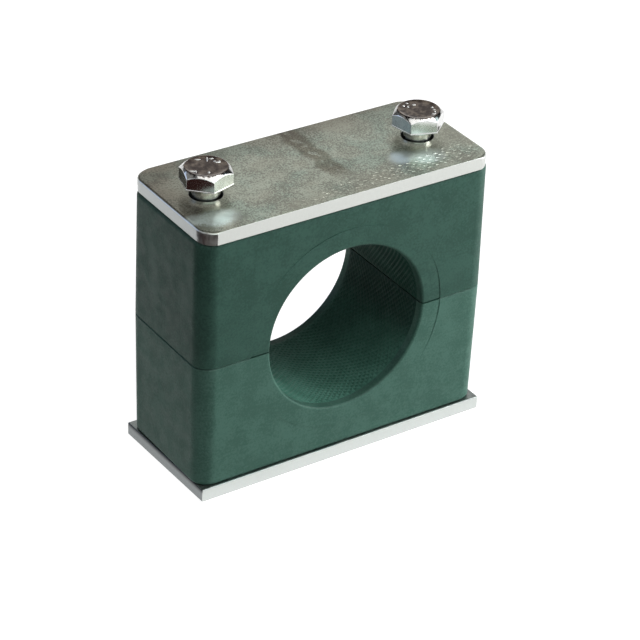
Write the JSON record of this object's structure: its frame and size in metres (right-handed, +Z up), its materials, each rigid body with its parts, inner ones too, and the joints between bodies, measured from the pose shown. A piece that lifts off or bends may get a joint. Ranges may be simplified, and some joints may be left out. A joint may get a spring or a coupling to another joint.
{
  "type": "hydraulic tube clamp",
  "caption": "Hydraulic tube clamp: moulded plastic halves close around a tube between a steel weld plate and a cover plate, held by hexagon bolts.",
  "frame": {"origin": "middle of the weld plate's underside", "axes": "+X along the weld plate from the left bolt to the right bolt, +Y along the tube's axis towards the back, +Z up through the stack"},
  "size_m": [0.072, 0.03, 0.0703],
  "materials": {
    "green_plastic": "matte moulded plastic, fine mottling",
    "weld_plate_zinc": "bright zinc plating on sheared steel",
    "cover_plate_zinc": "mottled zinc plating, dull on the face and bright on the sheared edges",
    "bolt_zinc": "bright zinc plating"
  },
  "bodies": {
    "base": {"weld_plate": "weld_plate_zinc", "lower_half": "green_plastic"},
    "top": {"upper_half": "green_plastic", "cover_plate": "cover_plate_zinc"},
    "bolt_left": {"left_bolt": "bolt_zinc"},
    "bolt_right": {"right_bolt": "bolt_zinc"}
  },
  "joints": [
    {"name": "top_lift", "type": "slide", "parent": "base", "child": "top", "axis": [0, 0, 1], "range_m": [0, 0.00205]},
    {"name": "left_bolt_turn", "type": "hinge", "parent": "base", "child": "bolt_left", "pos_m": [-0.026, 0, 0.0663], "axis": [0, 0, 1], "continuous": true},
    {"name": "right_bolt_turn", "type": "hinge", "parent": "base", "child": "bolt_right", "pos_m": [0.026, 0, 0.0661], "axis": [0, 0, 1], "continuous": true}
  ]
}
